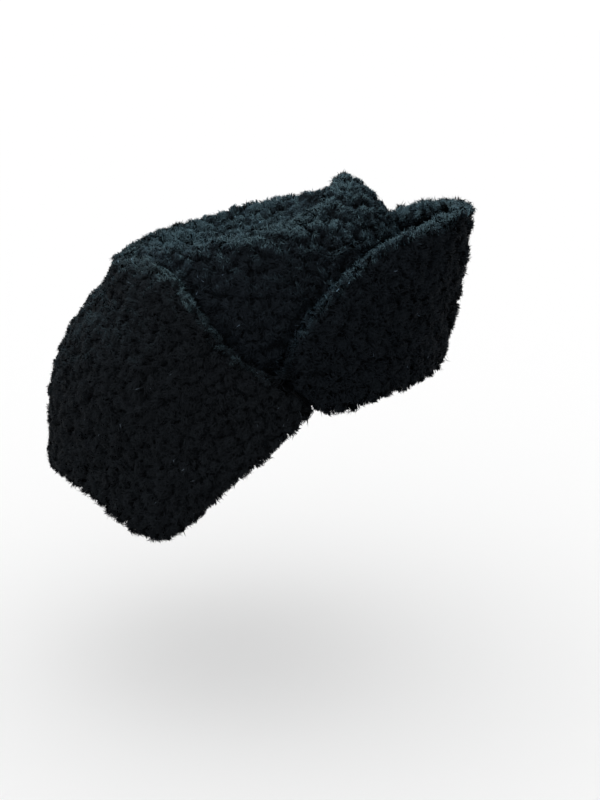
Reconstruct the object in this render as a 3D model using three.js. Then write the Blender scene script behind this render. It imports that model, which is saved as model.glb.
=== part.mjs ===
// A pile winter hat: a soft crown, a turned-up visor and one wraparound ear and neck flap.
// Millimetres, +Z up. The face looks along -Y and the wearer's right is -X.
// The origin is the middle of the head opening, as the hat sits on an upright head.

import * as THREE from 'three';

// Sizes of the whole hat
const WEAR_TILT = 15;
const SEAM_GAP = 0.7;
const TUFT_DEPTH = 2.2;
const TUFT_PITCH = 8;
const TUFT_AIM = 20;
const TUFT_COLUMN_STEP = 12.9898;
const TUFT_ROW_STEP = 78.233;
const TUFT_STRETCH = 43758.5453;
const EDGE_SHARE = 0.6;
const PILE_COLOUR = 0x12171a;
const PILE_ROUGHNESS = 0.95;

// Grid counts
const CROWN_COLUMNS = 64;
const CROWN_ROWS = 17;
const VISOR_COLUMNS = 28;
const VISOR_ROWS = 11;
const FLAP_COLUMNS = 58;
const FLAP_ROWS = 18;
const HALVINGS = 24;

// Flap sizes
const VISOR_THICKNESS = 17;
const VISOR_TOP_SHARE = 0.95;
const VISOR_BOTTOM_SHARE = 0.85;
const VISOR_SEAM_SHARE = 0.05;
const VISOR_LEAN_POWER = 1.1;
const FLAP_THICKNESS = 12;
const FLAP_SEAM_SHARE = 0.18;
const FLAP_FLARE_POWER = 0.84;

// Half width in degrees of the rise that makes the peak
const PEAK_SPREAD = 56;

// Crown sections from the rim to the middle of the top. The extents are half sizes of the outer oval,
// wall and roof are what the hollow loses sideways and upwards, and peak and sideRise are how much higher
// the section is at the front and at the sides.
const CROWN_SECTIONS = [
  { name: 'rim', up: -8, front: 107, back: 107, side: 92, wall: 10, roof: 0, peak: 0, sideRise: 0 },
  { name: 'band', up: 26, front: 111, back: 111, side: 96, wall: 10, roof: 0, peak: 0, sideRise: 0 },
  { name: 'wall', up: 57, front: 113, back: 105, side: 94, wall: 10, roof: 0, peak: 2, sideRise: 3 },
  { name: 'shoulder', up: 87, front: 108, back: 82, side: 76, wall: 9, roof: 5, peak: 8, sideRise: 15 },
  { name: 'ridge', up: 111, front: 87, back: 60, side: 60, wall: 3, roof: 12, peak: 13.5, sideRise: -0.5 },
  { name: 'lip', up: 101, front: 72, back: 45, side: 43, wall: 0, roof: 10, peak: 10, sideRise: 0 },
  { name: 'dent', up: 89, front: 50, back: 34, side: 22, wall: 0, roof: 9, peak: 0, sideRise: 0 },
  { name: 'middle', up: 86, front: 0, back: 0, side: 0, wall: 0, roof: 9, peak: 0, sideRise: 0 },
];

// Visor sections from a temple to the middle of the front, angles in degrees from the front
const VISOR_SECTIONS = [
  { bottomAngle: 66, bottomUp: -5, topAngle: 74, topUp: 24.5, topOut: 0 },
  { bottomAngle: 61, bottomUp: -7.5, topAngle: 66, topUp: 46, topOut: 0.5 },
  { bottomAngle: 54, bottomUp: -9, topAngle: 56, topUp: 60, topOut: 1 },
  { bottomAngle: 46, bottomUp: -11, topAngle: 44, topUp: 71.5, topOut: 3 },
  { bottomAngle: 34, bottomUp: -12.5, topAngle: 32, topUp: 79, topOut: 10 },
  { bottomAngle: 22, bottomUp: -13, topAngle: 20, topUp: 83.5, topOut: 22 },
  { bottomAngle: 10, bottomUp: -13, topAngle: 9, topUp: 85.5, topOut: 32 },
  { bottomAngle: 0, bottomUp: -13, topAngle: 0, topUp: 85.5, topOut: 36.5 },
];

// Flap sections from a temple to the middle of the back, angles in degrees from the front. The roll is the
// share of the thickness that the upper edge keeps.
const FLAP_SECTIONS = [
  { topAngle: 74.5, topUp: 20.5, bottomAngle: 67, bottomUp: -6, bottomOut: 0, roll: 0.7 },
  { topAngle: 79, topUp: 27.5, bottomAngle: 76, bottomUp: -16, bottomOut: 3, roll: 0.9 },
  { topAngle: 84, topUp: 37, bottomAngle: 86, bottomUp: -27.5, bottomOut: 8, roll: 1 },
  { topAngle: 88.5, topUp: 48, bottomAngle: 96, bottomUp: -37.5, bottomOut: 13, roll: 1 },
  { topAngle: 92, topUp: 62.5, bottomAngle: 106, bottomUp: -50, bottomOut: 20, roll: 1 },
  { topAngle: 96, topUp: 76.5, bottomAngle: 113, bottomUp: -60.5, bottomOut: 28, roll: 1 },
  { topAngle: 101, topUp: 90, bottomAngle: 119, bottomUp: -64.5, bottomOut: 34, roll: 0.9 },
  { topAngle: 109, topUp: 100.5, bottomAngle: 126, bottomUp: -59.5, bottomOut: 38, roll: 0.6 },
  { topAngle: 123, topUp: 105.5, bottomAngle: 134, bottomUp: -47, bottomOut: 40, roll: 0.35 },
  { topAngle: 143, topUp: 107, bottomAngle: 145, bottomUp: -32, bottomOut: 43, roll: 0.35 },
  { topAngle: 162, topUp: 107, bottomAngle: 160, bottomUp: -26, bottomOut: 51, roll: 0.35 },
  { topAngle: 180, topUp: 107, bottomAngle: 180, bottomUp: -29, bottomOut: 56, roll: 0.35 },
];

// A repeatable value from 0 to 1 for a grid vertex
function tuft(column, row) {
  const wave = Math.sin(column * TUFT_COLUMN_STEP + row * TUFT_ROW_STEP) * TUFT_STRETCH;
  return wave - Math.floor(wave);
}

// Smooth value of one table column at a place from 0, the first row, to 1, the last row
function along(sections, key, place) {
  const last = sections.length - 1;
  const spot = Math.min(Math.max(place, 0), 1) * last;
  const index = Math.min(Math.floor(spot), last - 1);
  const t = spot - index;
  const at = (i) => sections[Math.min(Math.max(i, 0), last)][key];
  const before = at(index - 1);
  const start = at(index);
  const end = at(index + 1);
  const after = at(index + 2);
  const slopeIn = (end - before) / 2;
  const slopeOut = (after - start) / 2;
  return start * (2 * t ** 3 - 3 * t ** 2 + 1) + slopeIn * (t ** 3 - 2 * t ** 2 + t)
    + end * (3 * t ** 2 - 2 * t ** 3) + slopeOut * (t ** 3 - t ** 2);
}

// The rows of one side followed by their mirror images, up to the far temple
function bothSides(sections, middleAngle) {
  const mirrored = sections.slice(0, -1).reverse().map((section) => ({
    ...section,
    topAngle: 2 * middleAngle - section.topAngle,
    bottomAngle: 2 * middleAngle - section.bottomAngle,
  }));
  return [...sections, ...mirrored];
}

// Rise of the front peak at an angle from the front
function peakShare(degrees) {
  const turned = Math.abs(THREE.MathUtils.euclideanModulo(degrees + 180, 360) - 180);
  return turned < PEAK_SPREAD ? 0.5 + 0.5 * Math.cos(Math.PI * turned / PEAK_SPREAD) : 0;
}

// Rise of the sides at an angle from the front
function sideShare(degrees) {
  return Math.sin(THREE.MathUtils.degToRad(degrees)) ** 2;
}

// Place on an oval of the given half sizes, at an angle from the front
function ovalPoint(degrees, front, back, side, up) {
  const angle = THREE.MathUtils.degToRad(degrees);
  const forward = Math.cos(angle) * (Math.cos(angle) > 0 ? front : back);
  return new THREE.Vector3(-Math.sin(angle) * side, -forward, up);
}

// Crown surface at an angle and a place from 0, the rim, to 1, the middle of the top
function crownPoint(degrees, place, inside) {
  const wall = inside ? along(CROWN_SECTIONS, 'wall', place) : 0;
  const roof = inside ? along(CROWN_SECTIONS, 'roof', place) : 0;
  const size = (key) => Math.max(along(CROWN_SECTIONS, key, place) - wall, 0);
  const frontRise = along(CROWN_SECTIONS, 'peak', place) * peakShare(degrees);
  const sideRise = along(CROWN_SECTIONS, 'sideRise', place) * sideShare(degrees);
  const up = along(CROWN_SECTIONS, 'up', place) + frontRise + sideRise - roof;
  return ovalPoint(degrees, size('front'), size('back'), size('side'), up);
}

// Crown surface at an angle and a height, straight down below the rim
function crownAtHeight(degrees, up) {
  const ridgeRow = CROWN_SECTIONS.findIndex((section) => section.name === 'ridge');
  let low = 0;
  let high = ridgeRow / (CROWN_SECTIONS.length - 1);
  for (let step = 0; step < HALVINGS; step += 1) {
    const half = (low + high) / 2;
    if (crownPoint(degrees, half, false).z < up) {
      low = half;
    } else {
      high = half;
    }
  }
  return crownPoint(degrees, low, false).setZ(up);
}

// Place standing out from the crown by a level distance
function besideCrown(degrees, up, out) {
  const angle = THREE.MathUtils.degToRad(degrees);
  const outward = new THREE.Vector3(-Math.sin(angle), -Math.cos(angle), 0);
  return crownAtHeight(degrees, up).addScaledVector(outward, out);
}

// Turns vertices and faces into a named mesh with the pile's material
function pileMesh(name, points, faces) {
  const geometry = new THREE.BufferGeometry();
  const flat = points.flatMap((point) => [point.x, point.y, point.z]);
  geometry.setAttribute('position', new THREE.Float32BufferAttribute(flat, 3));
  geometry.setIndex(faces.flat());
  const material = new THREE.MeshStandardMaterial({
    color: PILE_COLOUR,
    roughness: PILE_ROUGHNESS,
    metalness: 0,
  });
  const mesh = new THREE.Mesh(geometry, material);
  mesh.name = name;
  return mesh;
}

// Outward normal of a grid of points at one of its places
function gridNormal(grid, column, row) {
  const lastColumn = grid.length - 1;
  const lastRow = grid[0].length - 1;
  const ahead = grid[Math.min(column + 1, lastColumn)][row];
  const behind = grid[Math.max(column - 1, 0)][row];
  const above = grid[column][Math.min(row + 1, lastRow)];
  const below = grid[column][Math.max(row - 1, 0)];
  return new THREE.Vector3().crossVectors(ahead.clone().sub(behind), above.clone().sub(below)).normalize();
}

// Closed sheet that stands on a grid of inner points, with a tufted outside. Its free edges are thinner:
// the shares tell how much of the thickness stays at the bottom edge and at each column's top edge.
function pileSheet(name, grid, thickness, bottomShare, topShares) {
  const columns = grid.length;
  const rows = grid[0].length;
  const points = [];
  const faces = [];
  const place = (column, row, outside) => (column * rows + row) * 2 + (outside ? 1 : 0);
  const quad = (a, b, c, d) => faces.push([a, b, c], [a, c, d]);
  const edgeQuad = (columnA, rowA, columnB, rowB) => quad(
    place(columnA, rowA, false),
    place(columnB, rowB, false),
    place(columnB, rowB, true),
    place(columnA, rowA, true),
  );
  for (let column = 0; column < columns; column += 1) {
    const pitch = grid[column][0].distanceTo(grid[column][rows - 1]) / (rows - 1);
    const dip = TUFT_DEPTH * Math.min(pitch / TUFT_PITCH, 1);
    for (let row = 0; row < rows; row += 1) {
      let depth = thickness - dip * tuft(column, row);
      if (row === rows - 1) {
        depth = thickness * topShares[column];
      } else if (column === 0 || column === columns - 1) {
        depth = thickness * EDGE_SHARE;
      } else if (row === 0) {
        depth = thickness * bottomShare;
      }
      const inner = grid[column][row];
      points.push(inner, inner.clone().addScaledVector(gridNormal(grid, column, row), depth));
    }
  }
  for (let column = 0; column < columns - 1; column += 1) {
    for (let row = 0; row < rows - 1; row += 1) {
      for (const outside of [true, false]) {
        const corners = [
          place(column, row, outside),
          place(column + 1, row, outside),
          place(column + 1, row + 1, outside),
          place(column, row + 1, outside),
        ];
        quad(...(outside ? corners : corners.reverse()));
      }
    }
    edgeQuad(column, 0, column + 1, 0);
    edgeQuad(column + 1, rows - 1, column, rows - 1);
  }
  for (let row = 0; row < rows - 1; row += 1) {
    edgeQuad(0, row + 1, 0, row);
    edgeQuad(columns - 1, row, columns - 1, row + 1);
  }
  return pileMesh(name, points, faces);
}

// Crown: an outer and an inner skin that meet at the rim
function makeCrown() {
  const points = [];
  const faces = [];
  const skins = [false, true];
  const middle = [];
  const ring = (skin, row, column) => (skin * CROWN_ROWS + row) * CROWN_COLUMNS + column % CROWN_COLUMNS;
  for (const inside of skins) {
    for (let row = 0; row < CROWN_ROWS; row += 1) {
      for (let column = 0; column < CROWN_COLUMNS; column += 1) {
        const degrees = column * 360 / CROWN_COLUMNS;
        const point = crownPoint(degrees, row / CROWN_ROWS, inside);
        const pitch = Math.hypot(point.x, point.y) * 2 * Math.PI / CROWN_COLUMNS;
        const dip = inside || row === 0 ? 0 : TUFT_DEPTH * Math.min(pitch / TUFT_PITCH, 1);
        const inward = new THREE.Vector3(0, 0, TUFT_AIM).sub(point).normalize();
        points.push(point.addScaledVector(inward, dip * tuft(column, row)));
      }
    }
  }
  for (const inside of skins) {
    middle.push(points.length);
    points.push(crownPoint(0, 1, inside));
  }
  for (let column = 0; column < CROWN_COLUMNS; column += 1) {
    for (let row = 0; row < CROWN_ROWS - 1; row += 1) {
      faces.push([ring(0, row, column), ring(0, row + 1, column + 1), ring(0, row, column + 1)]);
      faces.push([ring(0, row, column), ring(0, row + 1, column), ring(0, row + 1, column + 1)]);
      faces.push([ring(1, row, column), ring(1, row, column + 1), ring(1, row + 1, column + 1)]);
      faces.push([ring(1, row, column), ring(1, row + 1, column + 1), ring(1, row + 1, column)]);
    }
    faces.push([ring(0, CROWN_ROWS - 1, column), middle[0], ring(0, CROWN_ROWS - 1, column + 1)]);
    faces.push([ring(1, CROWN_ROWS - 1, column), ring(1, CROWN_ROWS - 1, column + 1), middle[1]]);
    faces.push([ring(0, 0, column), ring(0, 0, column + 1), ring(1, 0, column + 1)]);
    faces.push([ring(0, 0, column), ring(1, 0, column + 1), ring(1, 0, column)]);
  }
  return pileMesh('crown', points, faces);
}

// Visor: sewn on along the rim, then leaning out to its top edge
function makeVisor() {
  const sections = bothSides(VISOR_SECTIONS, 0);
  const grid = [];
  for (let column = 0; column <= VISOR_COLUMNS; column += 1) {
    const section = (key) => along(sections, key, column / VISOR_COLUMNS);
    const line = [];
    for (let row = 0; row <= VISOR_ROWS; row += 1) {
      const climb = row / VISOR_ROWS;
      const lean = Math.max(climb - VISOR_SEAM_SHARE, 0) / (1 - VISOR_SEAM_SHARE);
      const degrees = THREE.MathUtils.lerp(section('bottomAngle'), section('topAngle'), climb);
      const up = THREE.MathUtils.lerp(section('bottomUp'), section('topUp'), climb);
      const out = SEAM_GAP + Math.max(section('topOut'), 0) * lean ** VISOR_LEAN_POWER;
      line.push(besideCrown(degrees, up, out));
    }
    grid.push(line);
  }
  const topShares = grid.map(() => VISOR_TOP_SHARE);
  return pileSheet('visor', grid, VISOR_THICKNESS, VISOR_BOTTOM_SHARE, topShares);
}

// Ear and neck flap: its upper edge hugs the crown, and below that it flares and hangs
function makeFlap() {
  const sections = bothSides(FLAP_SECTIONS, 180);
  const grid = [];
  const rolls = [];
  for (let column = 0; column <= FLAP_COLUMNS; column += 1) {
    const section = (key) => along(sections, key, 1 - column / FLAP_COLUMNS);
    const line = [];
    for (let row = 0; row <= FLAP_ROWS; row += 1) {
      const fall = 1 - row / FLAP_ROWS;
      const flare = Math.max(fall - FLAP_SEAM_SHARE, 0) / (1 - FLAP_SEAM_SHARE);
      const degrees = THREE.MathUtils.lerp(section('topAngle'), section('bottomAngle'), fall);
      const up = THREE.MathUtils.lerp(section('topUp'), section('bottomUp'), fall);
      const out = SEAM_GAP + Math.max(section('bottomOut'), 0) * flare ** FLAP_FLARE_POWER;
      line.push(besideCrown(degrees, up, out));
    }
    grid.push(line);
    rolls.push(section('roll'));
  }
  return pileSheet('ear_neck_flap', grid, FLAP_THICKNESS, EDGE_SHARE, rolls);
}

const group = new THREE.Group();
group.name = 'ushanka';
group.rotation.x = THREE.MathUtils.degToRad(-WEAR_TILT);
group.add(makeCrown(), makeVisor(), makeFlap());

export default group;
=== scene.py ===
"""Dresses the winter hat: a cloth backing in each solid's place and a short curly pile on it."""

import math

import bpy
import numpy as np
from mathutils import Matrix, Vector
from mathutils.bvhtree import BVHTree
from mathutils.kdtree import KDTree


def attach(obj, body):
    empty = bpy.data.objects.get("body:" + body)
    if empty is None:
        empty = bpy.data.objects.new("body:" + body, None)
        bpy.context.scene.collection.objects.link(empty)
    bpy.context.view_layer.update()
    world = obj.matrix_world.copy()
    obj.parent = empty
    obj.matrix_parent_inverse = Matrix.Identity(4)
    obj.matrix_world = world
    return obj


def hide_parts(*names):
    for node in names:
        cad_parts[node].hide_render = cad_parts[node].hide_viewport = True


# Sizes in metres
MM = 0.001
BACKING_DEPTH = 4.6 * MM
EDGE_BACKING_DEPTH = 1.2 * MM
ROOT_DEPTH = 4.6 * MM
PILE_REACH = 5.2 * MM
VISOR_PILE_REACH = 6.2 * MM
POCKET_PILE_REACH = 10.0 * MM
LOCK_SPACING = 5.6 * MM
LOCK_RADIUS = 0.6 * LOCK_SPACING
LOCK_CELL = 0.87 * LOCK_SPACING**2
HOOK = 2.6 * MM
SWELL_HEIGHT = 0.6 * MM
SWELL_LENGTHS = (8.0 * MM, 16.0 * MM)
STRAND_WIDTH = 0.58 * MM
COVER_REACH = 13.0 * MM
ROOM_NEEDED = 0.55 * COVER_REACH
NECK_SPLIT = 100 * MM
MERGE_STEP = 0.002 * MM
SMALLEST_CROSS = 1e-14
TINY = 1e-12

# Which faces are the pile side: they look away from this point inside the hat
INSIDE_POINT = np.array((0.0, 0.005, 0.025))
UPWARD = np.array((0.0, 0.0, 1.0))
RIM_DOWN_LIMIT = -0.72
FULL_PILE_SHARE = 0.98
EDGE_PILE_SHARE = 0.02

# How the pile lies; pairs are the low and high end of a random share
SEED = 41
STRANDS_PER_MM2 = 1.5
CROWN_NAP = np.array((0.0, 0.7, 0.2))
VISOR_NAP = np.array((0.0, 0.0, 0.8))
FLAP_NAP = np.array((0.0, 0.5, -0.8))
FACE_NORMAL_SHARE = 0.5
SWELL_WAVES = 40
LOCK_LEANS = (0.35, 1.0)
LOCK_REACHES = (0.86, 1.08)
LOCK_SHADES = (0.55, 0.90)
LOCK_GATHER = 0.28
LOCK_LEAN = 0.25
LOCK_ROUNDNESS = 0.65
DOME = 0.22
DOME_EDGE = 1.2
STRAND_LEAN = 0.16
STRAND_HEIGHTS = (0.88, 1.08)
STRAND_GATHERS = (0.6, 1.15)
HOOK_LENGTHS = (0.5, 1.2)
HOOK_SPREAD = 0.50
FLICKS = (-0.15, 0.20)
FACING_JITTER = 0.20
SHEEN_JITTER = 0.22
POCKET_LIFT = 1.1

# Shade of each strand, from 0 to 1: a random tone per lock and per strand, with painted shade darker
# towards each lock's edge where the crevices between locks are; past LINT_FROM it is a pale thread of
# lint
LOCK_EDGE_PAINTED_SHADE = 0.10
SHADE_JITTER = 0.05
SHADE_LIMITS = (0.02, 0.93)
SHADE_FULL = 0.9
LINT_FROM = 0.955
LINT_FULL = 0.97
LINT_SHADE = 0.975
LINT_SHARE = 0.0010
LINT_GAIN = 8.0

# One strip: two corners at its root, two at its bend and one at its tip
STRIP_FACES = np.array(((0, 1, 2), (0, 2, 3), (3, 2, 4)))
STRIP_ACROSS = np.array((0.0, 1.0, 0.85, 0.15, 0.5))
STRIP_ALONG = np.array((0.0, 0.0, 0.5, 0.5, 1.0))
STRIP_CORNERS = len(STRIP_ALONG)
STRIP_MAP_WIDTH = 1 / 64
BEND_WIDTH = 0.85

# Colours and finishes
BLUE_PILE = (0.0062, 0.0084, 0.0110)
BROWN_PILE = (0.0066, 0.0081, 0.0098)
PILE_ROUGHNESS = 0.62
PILE_SPECULAR = 0.03
ROOT_TONE = 0.55
TIP_TONE = 1.45
DARKEST_TONE = 0.45
GROUND_COLOUR = (0.0052, 0.0068, 0.0084)
GROUND_ROUGHNESS = 0.95
GROUND_SPECULAR = 0.05
GROUND_THREAD = 1.6 * MM
CLOTH_COLOUR = (0.011, 0.012, 0.013)
CLOTH_ROUGHNESS = 0.85
CLOTH_SPECULAR = 0.2
CLOTH_THREAD = 0.9 * MM
GAP_TONE = 0.6
THREAD_TONE = 1.15
THREAD_WANDER = 1.5
THREAD_DETAIL = 1.0
WEAVE_STRENGTH = 0.4
WEAVE_RELIEF = 0.2 * MM

# Scale of a wave texture whose bands are 1 unit apart
WAVE_UNIT = math.pi / 10

# Stage and lights
FLOOR_HEIGHT = -0.225
FLOOR_REACH = 6.0
FLOOR_COLOUR = (0.92, 0.92, 0.92, 1.0)
FLOOR_ROUGHNESS = 0.9
SURROUND_COLOUR = (1.0, 1.0, 1.0, 1.0)
SURROUND_STRENGTH = 1.09
KEY_LIGHT = {
    "place": (0.52, 0.02, 1.08),
    "target": (0.0, 0.02, 0.05),
    "size": 0.5,
    "power": 82.0,
    "colour": (0.60, 0.95, 1.0),
}
FILL_LIGHT = {
    "place": (-0.60, 0.75, 1.00),
    "target": (0.0, 0.02, 0.0),
    "size": 0.4,
    "power": 10.0,
    "colour": (0.90, 0.96, 1.0),
}

# Photo view
VIEW_TURN = math.radians(10)
VIEW_RISE = math.radians(18)
VIEW_DISTANCE = 1.0
PIXELS_PER_METRE = 1420
PICTURE_HEIGHT = 800
SENSOR = 36.0
ORIGIN_LEFT_OF_MIDDLE = 30
ORIGIN_ABOVE_MIDDLE = 28

rng = np.random.default_rng(SEED)
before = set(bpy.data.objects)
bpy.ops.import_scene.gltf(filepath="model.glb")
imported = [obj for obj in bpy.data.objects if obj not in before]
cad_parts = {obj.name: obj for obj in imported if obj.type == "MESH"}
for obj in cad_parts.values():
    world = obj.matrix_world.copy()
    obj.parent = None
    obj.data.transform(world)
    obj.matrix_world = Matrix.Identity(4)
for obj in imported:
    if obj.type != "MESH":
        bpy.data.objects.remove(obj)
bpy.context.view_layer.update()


# Meshes as arrays
def unit(vectors):
    """Vectors scaled to length 1."""
    return vectors / np.maximum(np.linalg.norm(vectors, axis=-1, keepdims=True), TINY)


def along_surface(vectors, normals):
    """The vectors without their part along the normals."""
    return vectors - normals * (vectors * normals).sum(axis=1, keepdims=True)


def solid_arrays(name):
    """Vertices, triangles, triangle areas and normals, and vertex normals of one node."""
    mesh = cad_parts[name].data
    mesh.calc_loop_triangles()
    points = np.empty(len(mesh.vertices) * 3)
    mesh.vertices.foreach_get("co", points)
    corners = np.empty(len(mesh.loop_triangles) * 3, dtype=np.int32)
    mesh.loop_triangles.foreach_get("vertices", corners)
    keys = np.round(points.reshape(-1, 3) / MERGE_STEP).astype(np.int64)
    _, first, shared = np.unique(keys, axis=0, return_index=True, return_inverse=True)
    points = points.reshape(-1, 3)[first]
    triangles = shared.reshape(-1)[corners].reshape(-1, 3)
    cross = np.cross(
        points[triangles[:, 1]] - points[triangles[:, 0]],
        points[triangles[:, 2]] - points[triangles[:, 0]],
    )
    length = np.linalg.norm(cross, axis=1)
    sound = length > SMALLEST_CROSS
    triangles = triangles[sound]
    cross = cross[sound]
    vertex_normals = np.zeros_like(points)
    for corner in range(3):
        np.add.at(vertex_normals, triangles[:, corner], cross)
    return {
        "points": points,
        "triangles": triangles,
        "area": length[sound] / 2,
        "normals": unit(cross),
        "vertex_normals": unit(vertex_normals),
    }


def pile_side(solid):
    """True for each triangle that looks outward from the hat."""
    middles = solid["points"][solid["triangles"]].mean(axis=1)
    return (solid["normals"] * (middles - INSIDE_POINT)).sum(axis=1) > 0


def scatter(solid, faces, count):
    """Spreads points evenly over the chosen triangles; returns points and normals."""
    share = np.cumsum(solid["area"] * faces)
    picks = (np.arange(count) + rng.random(count)) / count * share[-1]
    chosen = np.minimum(np.searchsorted(share, picks), len(share) - 1)
    first = np.sqrt(rng.random(count))
    second = rng.random(count)
    parts = np.stack((1 - first, first * (1 - second), first * second), axis=1)
    corners = solid["triangles"][chosen]
    points = np.einsum("ij,ijk->ik", parts, solid["points"][corners])
    smooth = unit(np.einsum("ij,ijk->ik", parts, solid["vertex_normals"][corners]))
    flat = solid["normals"][chosen]
    return points, unit((1 - FACE_NORMAL_SHARE) * smooth + FACE_NORMAL_SHARE * flat)


def tree_of(*solids):
    """A search tree over the triangles of several solids."""
    points = []
    triangles = []
    for solid in solids:
        start = len(points)
        points.extend(Vector(p) for p in solid["points"])
        triangles.extend((solid["triangles"] + start).tolist())
    return BVHTree.FromPolygons(points, triangles)


# Materials
def new_material(name, roughness, specular):
    """A material with its node tree and its main shader."""
    material = bpy.data.materials.new(name)
    material.use_nodes = True
    nodes = material.node_tree.nodes
    shader = nodes["Principled BSDF"]
    shader.inputs["Roughness"].default_value = roughness
    shader.inputs["Specular IOR Level"].default_value = specular
    return material, nodes, material.node_tree.links, shader


def toned(colour, tone):
    """The colour made darker or lighter."""
    return [tone * part for part in colour]


def colour_ramp(nodes, *stops):
    """A ramp with the given (place, colour) stops."""
    ramp = nodes.new("ShaderNodeValToRGB")
    while len(ramp.color_ramp.elements) < len(stops):
        ramp.color_ramp.elements.new(1.0)
    for element, (place, colour) in zip(ramp.color_ramp.elements, stops):
        element.position = place
        element.color = (*colour, 1.0)
    return ramp


def pile_material(name, colour):
    """Strand colour: dark at the root, lighter at the tip, with a shade per strand."""
    material, nodes, links, shader = new_material(name, PILE_ROUGHNESS, PILE_SPECULAR)
    place = nodes.new("ShaderNodeUVMap")
    place.uv_map = "strand"
    split = nodes.new("ShaderNodeSeparateXYZ")
    links.new(place.outputs["UV"], split.inputs["Vector"])
    along = colour_ramp(
        nodes,
        (0.0, toned(colour, ROOT_TONE * LINT_GAIN)),
        (0.5, toned(colour, LINT_GAIN)),
        (1.0, toned(colour, TIP_TONE * LINT_GAIN)),
    )
    links.new(split.outputs["Y"], along.inputs["Fac"])
    shade = colour_ramp(
        nodes,
        (0.0, [DARKEST_TONE / LINT_GAIN] * 3),
        (SHADE_FULL, [1.0 / LINT_GAIN] * 3),
        (LINT_FROM, [1.0 / LINT_GAIN] * 3),
        (LINT_FULL, [1.0] * 3),
    )
    links.new(split.outputs["X"], shade.inputs["Fac"])
    mix = nodes.new("ShaderNodeMix")
    mix.data_type = "RGBA"
    mix.blend_type = "MULTIPLY"
    mix.inputs["Factor"].default_value = 1.0
    links.new(along.outputs["Color"], mix.inputs["A"])
    links.new(shade.outputs["Color"], mix.inputs["B"])
    links.new(mix.outputs["Result"], shader.inputs["Base Color"])
    return material


def woven_material(name, colour, roughness, specular, thread):
    """Plain cloth: two crossed sets of threads in the colour and the relief."""
    material, nodes, links, shader = new_material(name, roughness, specular)
    where = nodes.new("ShaderNodeTexCoord")
    threads = []
    for direction in ("X", "Z"):
        wave = nodes.new("ShaderNodeTexWave")
        wave.bands_direction = direction
        wave.inputs["Scale"].default_value = WAVE_UNIT / thread
        wave.inputs["Distortion"].default_value = THREAD_WANDER
        wave.inputs["Detail"].default_value = THREAD_DETAIL
        links.new(where.outputs["Object"], wave.inputs["Vector"])
        threads.append(wave)
    weave = nodes.new("ShaderNodeMath")
    weave.operation = "MAXIMUM"
    for wave, slot in zip(threads, weave.inputs):
        links.new(wave.outputs["Fac"], slot)
    tint = colour_ramp(nodes, (0.0, toned(colour, GAP_TONE)), (1.0, toned(colour, THREAD_TONE)))
    links.new(weave.outputs["Value"], tint.inputs["Fac"])
    links.new(tint.outputs["Color"], shader.inputs["Base Color"])
    bump = nodes.new("ShaderNodeBump")
    bump.inputs["Strength"].default_value = WEAVE_STRENGTH
    bump.inputs["Distance"].default_value = WEAVE_RELIEF
    links.new(weave.outputs["Value"], bump.inputs["Height"])
    links.new(bump.outputs["Normal"], shader.inputs["Normal"])
    return material


# Backing under the pile
def make_backing(name, node, solid, outer, materials):
    """The solid's own form with its pile side drawn in, so the pile stands in the solid's place."""
    points = solid["points"]
    triangles = solid["triangles"]
    pile_area = np.zeros(len(points))
    all_area = np.zeros(len(points))
    for corner in range(3):
        np.add.at(pile_area, triangles[:, corner], solid["area"] * outer)
        np.add.at(all_area, triangles[:, corner], solid["area"])
    share = pile_area / np.maximum(all_area, TINY)
    depth = np.where(share > EDGE_PILE_SHARE, EDGE_BACKING_DEPTH, 0.0)
    depth = np.where(share > FULL_PILE_SHARE, BACKING_DEPTH, depth)
    drawn = points - solid["vertex_normals"] * depth[:, None]
    mesh = bpy.data.meshes.new(name)
    mesh.from_pydata(drawn.tolist(), [], triangles.tolist())
    for material in materials:
        mesh.materials.append(material)
    mesh.polygons.foreach_set("material_index", np.where(outer, 0, 1).astype(np.int32))
    mesh.polygons.foreach_set("use_smooth", np.ones(len(triangles), dtype=bool))
    piece = bpy.data.objects.new(name, mesh)
    bpy.context.scene.collection.objects.link(piece)
    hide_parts(node)
    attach(piece, "root")
    return piece


# Pile
def lock_table(points, normals, nap):
    """One row of habits for each lock of pile."""
    count = len(points)
    across = unit(along_surface(rng.normal(size=(count, 3)), normals))
    flow = along_surface(nap, normals)
    return {
        "points": points,
        "normals": normals,
        "lean": unit(across + flow) * rng.uniform(*LOCK_LEANS, (count, 1)),
        "reach": rng.uniform(*LOCK_REACHES, count),
        "shade": rng.uniform(*LOCK_SHADES, count),
    }


def nearest_lock(points, locks):
    """Index of the lock that each strand belongs to."""
    tree = KDTree(len(locks["points"]))
    for index, point in enumerate(locks["points"]):
        tree.insert(point, index)
    tree.balance()
    return np.array([tree.find(point)[1] for point in points])


def swell_waves():
    """Random plane waves whose sum makes the soft lumps of the pile."""
    length = rng.uniform(*SWELL_LENGTHS, (SWELL_WAVES, 1))
    return {
        "turns": unit(rng.normal(size=(SWELL_WAVES, 3))) * 2 * math.pi / length,
        "start": rng.uniform(0, 2 * math.pi, SWELL_WAVES),
    }


def swell(points, waves):
    """Height of the lumps at each point and how it slopes."""
    angle = points @ waves["turns"].T + waves["start"]
    scale = SWELL_HEIGHT * math.sqrt(2 / SWELL_WAVES)
    height = np.cos(angle).sum(axis=1, keepdims=True) * scale
    slope = -np.sin(angle) @ waves["turns"] * scale
    return height, slope


def room_above(points, normals, cover):
    """How far each strand may stand before it meets another piece."""
    room = np.full(len(points), np.inf)
    for index, (point, normal) in enumerate(zip(points, normals)):
        hit = cover.ray_cast(Vector(point), Vector(normal), COVER_REACH)
        if hit[0] is not None:
            room[index] = hit[3]
    return room


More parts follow.
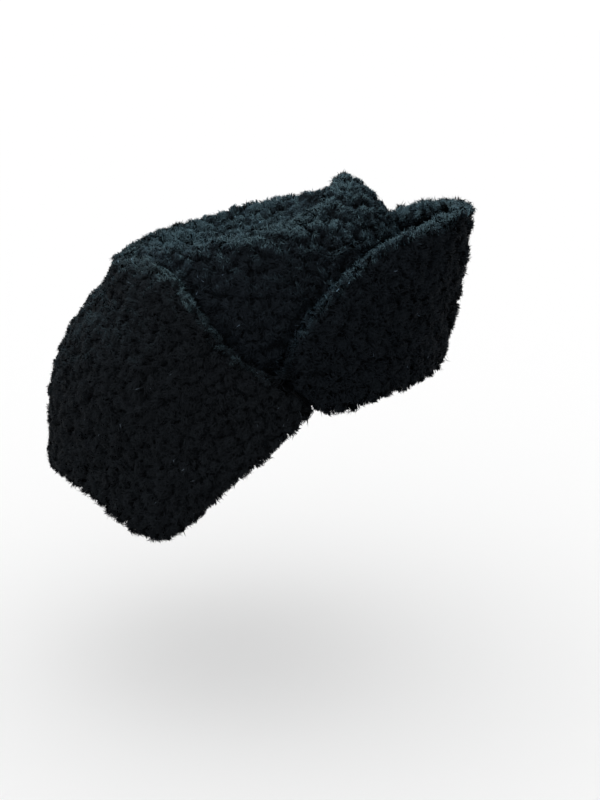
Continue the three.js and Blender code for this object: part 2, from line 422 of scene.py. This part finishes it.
def make_strands(solid, faces, nap, cover, reach, waves, lift=0.0):
    """Roots, bends, tips, sides, shades and sheen of the strands on a solid's chosen triangles.

    Strands that stand close under the cover are left out, and lift turns the sheen upward.
    """
    covered = (solid["area"] * faces).sum() / MM**2
    locks = lock_table(*scatter(solid, faces, int(covered * MM**2 / LOCK_CELL)), nap)
    points, normals = scatter(solid, faces, int(covered * STRANDS_PER_MM2))
    if cover is not None:
        clear = room_above(points, normals, cover) > ROOM_NEEDED
        points = points[clear]
        normals = normals[clear]
    count = len(points)
    lump, slope = swell(points, waves)
    lock = nearest_lock(points, locks)
    lock_points = locks["points"][lock]
    lock_lean = locks["lean"][lock]

    own_lean = along_surface(rng.normal(size=(count, 3)), normals)
    away = np.linalg.norm(points - lock_points, axis=1) / LOCK_RADIUS
    dome = 1 - DOME * np.minimum(away, DOME_EDGE) ** 2
    height = locks["reach"][lock] * dome * rng.uniform(*STRAND_HEIGHTS, count)
    height = reach * height[:, None] + lump
    lean = lock_lean * LOCK_LEAN + own_lean * STRAND_LEAN
    own_top = points + (normals + lean) * height
    lock_top = lock_points + (locks["normals"][lock] + lean) * height
    gather = LOCK_GATHER * rng.uniform(*STRAND_GATHERS, (count, 1))
    roots = points - normals * ROOT_DEPTH
    bends = own_top + (lock_top - own_top) * gather - normals * ROOT_DEPTH
    hook = unit(lock_lean + own_lean * HOOK_SPREAD)
    flick = normals * height * rng.uniform(*FLICKS, (count, 1))
    tips = bends + hook * HOOK * rng.uniform(*HOOK_LENGTHS, (count, 1)) + flick

    lumpy = normals - along_surface(slope, normals)
    side = unit(np.cross(hook, lumpy + FACING_JITTER * rng.normal(size=(count, 3))))
    # Painted shade: strands are darker towards the edge of their lock, in the crevices between locks
    shade = locks["shade"][lock] - LOCK_EDGE_PAINTED_SHADE * away + rng.normal(0, SHADE_JITTER, count)
    shade = np.clip(shade, *SHADE_LIMITS)
    shade[rng.random(count) < LINT_SHARE] = LINT_SHADE
    round_off = along_surface(points - lock_points, normals) * LOCK_ROUNDNESS / LOCK_SPACING
    sheen = lumpy + round_off + lift * UPWARD
    sheen = unit(sheen + SHEEN_JITTER * rng.normal(size=(count, 3)))
    return {"roots": roots, "bends": bends, "tips": tips, "side": side, "shade": shade, "sheen": sheen}


def part_of(strands, chosen):
    """The chosen rows of a strand table."""
    return {key: rows[chosen] for key, rows in strands.items()}


def make_pile(name, strands, material):
    """Joins the strands to one mesh of narrow bent strips."""
    count = len(strands["roots"])
    half = strands["side"] * STRAND_WIDTH / 2
    points = np.stack(
        (
            strands["roots"] - half,
            strands["roots"] + half,
            strands["bends"] + half * BEND_WIDTH,
            strands["bends"] - half * BEND_WIDTH,
            strands["tips"],
        ),
        axis=1,
    ).reshape(-1, 3)
    faces = (np.arange(count)[:, None, None] * STRIP_CORNERS + STRIP_FACES).reshape(-1, 3)
    mesh = bpy.data.meshes.new(name)
    mesh.vertices.add(len(points))
    mesh.vertices.foreach_set("co", points.ravel())
    mesh.loops.add(faces.size)
    mesh.loops.foreach_set("vertex_index", faces.ravel().astype(np.int32))
    mesh.polygons.add(len(faces))
    mesh.polygons.foreach_set("loop_start", np.arange(0, faces.size, 3, dtype=np.int32))
    mesh.update()
    left = strands["shade"][:, None] + STRIP_ACROSS[None, :] * STRIP_MAP_WIDTH
    point_uv = np.stack((left, np.broadcast_to(STRIP_ALONG, left.shape)), axis=2).reshape(-1, 2)
    for layer_name in ("strand", "OFBake"):
        layer = mesh.uv_layers.new(name=layer_name)
        layer.data.foreach_set("uv", point_uv[faces.ravel()].ravel().astype(np.float32))
    mesh.polygons.foreach_set("use_smooth", np.ones(len(faces), dtype=bool))
    mesh.materials.append(material)
    mesh.validate()
    mesh.normals_split_custom_set_from_vertices(np.repeat(strands["sheen"], STRIP_CORNERS, axis=0))
    piece = bpy.data.objects.new(name, mesh)
    bpy.context.scene.collection.objects.link(piece)
    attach(piece, "root")
    return piece


crown = solid_arrays("crown")
visor = solid_arrays("visor")
flap = solid_arrays("ear_neck_flap")
crown_outside = pile_side(crown)
visor_outside = pile_side(visor)
flap_outside = pile_side(flap)

ground = woven_material("pile_ground", GROUND_COLOUR, GROUND_ROUGHNESS, GROUND_SPECULAR, GROUND_THREAD)
cloth = woven_material("inner_cloth", CLOTH_COLOUR, CLOTH_ROUGHNESS, CLOTH_SPECULAR, CLOTH_THREAD)
blue_pile = pile_material("pile_blue_black", BLUE_PILE)
brown_pile = pile_material("pile_black", BROWN_PILE)

# Backings; the visor has pile on both sides
crown_backing = make_backing("crown_backing", "crown", crown, crown_outside, (ground, cloth))
visor_all = np.ones(len(visor["triangles"]), dtype=bool)
visor_backing = make_backing("visor_backing", "visor", visor, visor_all, (ground, cloth))
flap_backing = make_backing("flap_backing", "ear_neck_flap", flap, flap_outside, (ground, cloth))

# Strands
lumps = swell_waves()
crown_faces = crown_outside & (crown["normals"][:, 2] > RIM_DOWN_LIMIT)
over_crown = tree_of(visor, flap)
crown_strands = make_strands(crown, crown_faces, CROWN_NAP, over_crown, PILE_REACH, lumps)
beside_visor = tree_of(crown, flap)
visor_strands = make_strands(
    visor, visor_outside, VISOR_NAP, beside_visor, VISOR_PILE_REACH, lumps
)
pocket_strands = make_strands(
    visor, ~visor_outside, VISOR_NAP, beside_visor, POCKET_PILE_REACH, lumps, POCKET_LIFT
)
flap_strands = make_strands(flap, flap_outside, FLAP_NAP, None, PILE_REACH, lumps)

# Piles, the large ones in parts
left = crown_strands["roots"][:, 0] > 0
crown_pile_left = make_pile("crown_pile_left", part_of(crown_strands, left), blue_pile)
crown_pile_right = make_pile("crown_pile_right", part_of(crown_strands, ~left), blue_pile)
visor_pile = make_pile("visor_pile", visor_strands, blue_pile)
pocket_pile = make_pile("visor_pocket_pile", pocket_strands, blue_pile)
neck = flap_strands["roots"][:, 1] > NECK_SPLIT
left_ear = (flap_strands["roots"][:, 0] > 0) & ~neck
right_ear = ~left_ear & ~neck
flap_pile_left = make_pile("flap_pile_left", part_of(flap_strands, left_ear), brown_pile)
flap_pile_right = make_pile("flap_pile_right", part_of(flap_strands, right_ear), brown_pile)
flap_pile_neck = make_pile("flap_pile_neck", part_of(flap_strands, neck), brown_pile)


# Stage, light and camera
def make_floor():
    """A pale plain floor under the hat."""
    mesh = bpy.data.meshes.new("floor")
    ends = ((-1, -1), (1, -1), (1, 1), (-1, 1))
    corners = [(FLOOR_REACH * x, FLOOR_REACH * y, FLOOR_HEIGHT) for x, y in ends]
    mesh.from_pydata(corners, [], [(0, 1, 2, 3)])
    material, _, _, shader = new_material("pale_floor", FLOOR_ROUGHNESS, 0.0)
    shader.inputs["Base Color"].default_value = FLOOR_COLOUR
    mesh.materials.append(material)
    floor = bpy.data.objects.new("floor", mesh)
    bpy.context.scene.collection.objects.link(floor)


def aim_at(thing, target):
    """Turns a camera or light towards a point."""
    thing.rotation_euler = (Vector(target) - thing.location).to_track_quat("-Z", "Y").to_euler()


def make_light(name, light_values, lit_pieces):
    """A soft square light that falls on the given pieces only."""
    data = bpy.data.lights.new(name, "AREA")
    data.size = light_values["size"]
    data.energy = light_values["power"]
    data.color = light_values["colour"]
    light = bpy.data.objects.new(name, data)
    light.location = light_values["place"]
    bpy.context.scene.collection.objects.link(light)
    aim_at(light, light_values["target"])
    lit = bpy.data.collections.new(name)
    for piece in lit_pieces:
        lit.objects.link(piece)
    light.light_linking.receiver_collection = lit


def make_world():
    """An even white surround."""
    world = bpy.data.worlds.new("surround")
    world.use_nodes = True
    background = world.node_tree.nodes["Background"]
    background.inputs["Color"].default_value = SURROUND_COLOUR
    background.inputs["Strength"].default_value = SURROUND_STRENGTH
    bpy.context.scene.world = world


def make_camera():
    """The photo's view: the hat's right side from a little in front and above."""
    back = Vector(
        (
            -math.cos(VIEW_TURN) * math.cos(VIEW_RISE),
            -math.sin(VIEW_TURN) * math.cos(VIEW_RISE),
            math.sin(VIEW_RISE),
        )
    )
    right = Vector((math.sin(VIEW_TURN), -math.cos(VIEW_TURN), 0.0))
    up = back.cross(right)
    data = bpy.data.cameras.new("photo_view")
    data.sensor_width = SENSOR
    data.lens = SENSOR * PIXELS_PER_METRE * VIEW_DISTANCE / PICTURE_HEIGHT
    camera = bpy.data.objects.new("photo_view", data)
    camera.location = back * VIEW_DISTANCE
    bpy.context.scene.collection.objects.link(camera)
    sideways = right * (ORIGIN_LEFT_OF_MIDDLE / PIXELS_PER_METRE)
    downward = up * (-ORIGIN_ABOVE_MIDDLE / PIXELS_PER_METRE)
    aim_at(camera, sideways + downward)
    bpy.context.scene.camera = camera


make_floor()
make_world()
backings = (crown_backing, visor_backing, flap_backing)
crown_piles = (crown_pile_left, crown_pile_right)
flap_piles = (flap_pile_left, flap_pile_right, flap_pile_neck)
hat_pieces = (*backings, *crown_piles, visor_pile, pocket_pile, *flap_piles)
make_light("key_above", KEY_LIGHT, hat_pieces)
make_light("near_fill", FILL_LIGHT, hat_pieces)
make_camera()
bpy.context.scene.view_settings.view_transform = "Standard"
